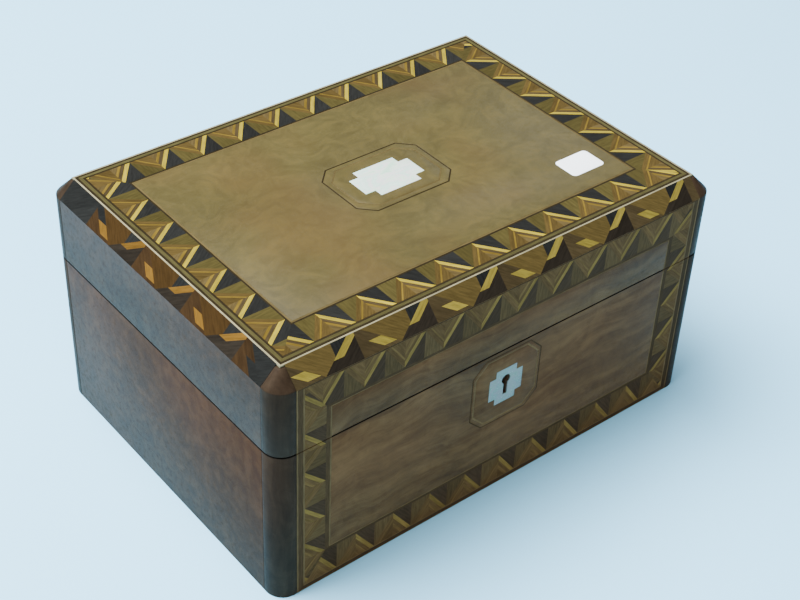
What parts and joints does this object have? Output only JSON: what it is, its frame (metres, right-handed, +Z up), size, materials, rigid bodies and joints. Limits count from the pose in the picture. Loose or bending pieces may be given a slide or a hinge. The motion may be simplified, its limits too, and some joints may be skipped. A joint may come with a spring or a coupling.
{
  "type": "wooden box",
  "caption": "Veneered wooden table box with a hinged chamfered lid, parquetry bands, mother-of-pearl inlay, a box lock and a lift-out tray.",
  "frame": {"origin": "centre of the wooden box's underside, on the plane that the box rests on", "axes": "+X to the right along the length, +Y to the back where the hinges are, +Z up"},
  "size_m": [0.28, 0.2033, 0.1402],
  "materials": {
    "walnut": "french polished, satin",
    "figured_walnut": "french polished, satin",
    "ebonised_wood": "french polished, satin",
    "carcase_pine": "bare, sanded",
    "parquetry": "french polished, satin",
    "boxwood_string": "french polished, satin",
    "mother_of_pearl": "polished shell",
    "brass": "aged, satin",
    "steel": "oiled",
    "lining_paper": "matt paper",
    "lining_silk": "padded silk",
    "label_paper": "matt paper",
    "tray_wood": "waxed, satin"
  },
  "bodies": {
    "base": {"base_bottom": "carcase_pine", "base_front": "carcase_pine", "base_back": "carcase_pine", "base_left": "carcase_pine", "base_right": "carcase_pine", "base_corner_posts": "ebonised_wood", "base_front_veneer": "walnut", "base_side_veneers": "walnut", "base_front_banding": "parquetry", "base_front_stringing": "boxwood_string", "escutcheon": "mother_of_pearl", "base_wall_linings": "lining_paper", "base_floor_lining": "lining_paper", "left_tray_ledge": "carcase_pine", "right_tray_ledge": "carcase_pine", "left_hinge_base_leaf": "brass", "right_hinge_base_leaf": "brass", "hinge_pins": "steel", "base_hinge_screws": "brass", "lock_case": "brass", "lock_cap": "brass", "lock_drill_pin": "steel", "lock_spring": "steel", "lock_screws": "brass"},
    "lid": {"lid_front": "carcase_pine", "lid_back": "carcase_pine", "lid_left": "carcase_pine", "lid_right": "carcase_pine", "lid_top": "carcase_pine", "lid_corner_posts": "ebonised_wood", "lid_front_veneer": "walnut", "lid_side_veneers": "walnut", "lid_field_veneer": "figured_walnut", "lid_front_banding": "parquetry", "lid_top_banding": "parquetry", "lid_bevel_banding": "parquetry", "lid_front_stringing": "boxwood_string", "lid_top_stringing": "boxwood_string", "lid_edging": "boxwood_string", "lid_cartouche": "mother_of_pearl", "left_hinge_lid_leaf": "brass", "right_hinge_lid_leaf": "brass", "lid_hinge_screws": "brass", "link_plate": "brass", "link_plate_screws": "brass", "lid_wall_linings": "lining_paper", "lid_lining_card": "lining_paper", "lid_lining_pad": "lining_silk", "lot_label": "label_paper"},
    "bolt": {"lock_bolt": "brass"},
    "tray": {"tray_floor": "tray_wood", "tray_front_wall": "tray_wood", "tray_back_wall": "tray_wood", "tray_left_wall": "tray_wood", "tray_right_wall": "tray_wood", "tray_dividers": "tray_wood"}
  },
  "joints": [
    {"name": "lid_hinge", "type": "hinge", "parent": "base", "child": "lid", "pos_m": [0, 0.1, 0.093], "axis": [-1, 0, 0], "range_deg": [0, 95]},
    {"name": "bolt_slide", "type": "slide", "parent": "base", "child": "bolt", "axis": [1, 0, 0], "range_m": [0, 0.005]},
    {"name": "tray_lift", "type": "slide", "parent": "base", "child": "tray", "axis": [0, 0, 1], "range_m": [0, 0.034]}
  ]
}
